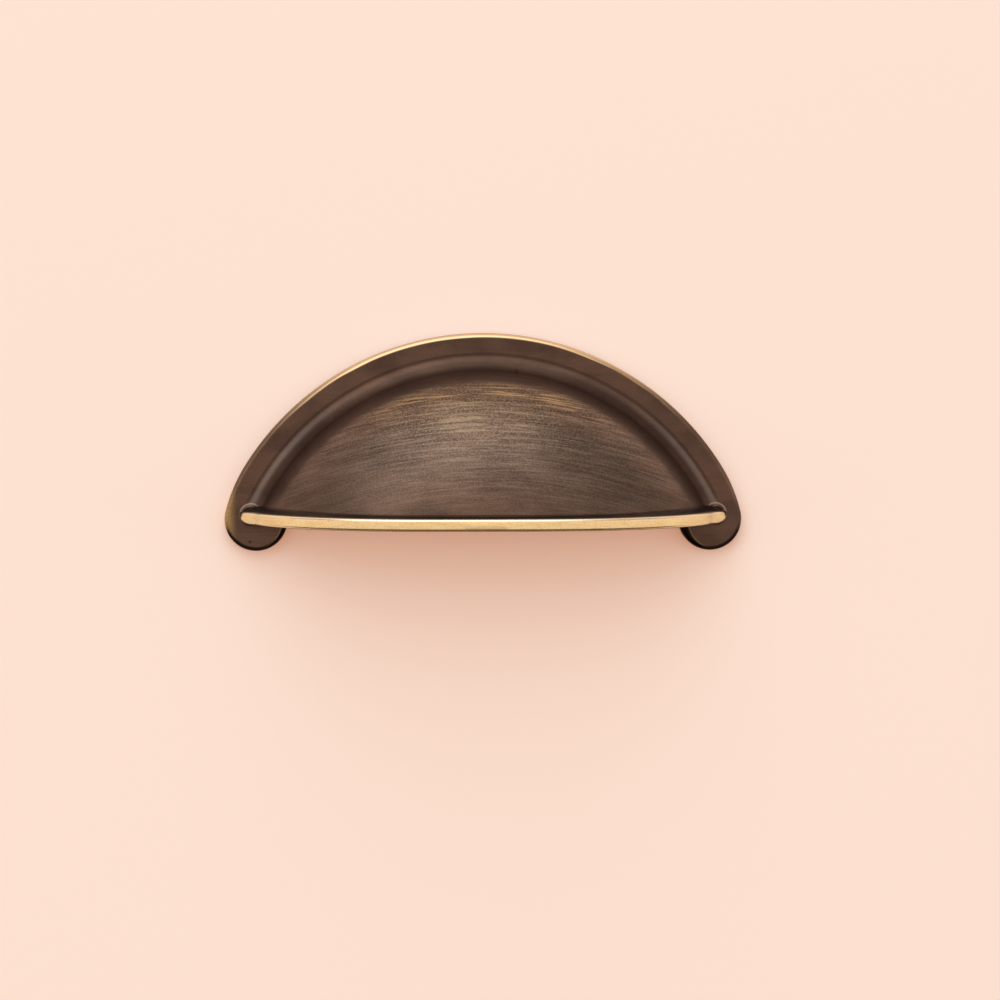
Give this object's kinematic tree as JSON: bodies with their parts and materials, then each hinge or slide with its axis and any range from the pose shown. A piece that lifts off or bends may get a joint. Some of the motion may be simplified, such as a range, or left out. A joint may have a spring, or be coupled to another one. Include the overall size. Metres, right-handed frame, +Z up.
{
  "type": "cup pull",
  "caption": "Half-round cup pull for a drawer: hollow dome with a flat arched flange, round ears and a straight finger lip, cast in one piece.",
  "frame": {"origin": "midway between the two screw holes, in the mounting plane where the back meets the drawer front", "axes": "+X to the right along the lip as seen from the front, +Y into the drawer front, +Z up; the pull's face looks along -Y and its finger opening faces -Z"},
  "size_m": [0.087, 0.0218, 0.0365],
  "materials": {
    "aged_brass": "dark brown patina brushed through in fine horizontal streaks, polished bare on the lip and the outer edge"
  },
  "bodies": {
    "root": {"cup_pull": "aged_brass"}
  },
  "joints": []
}
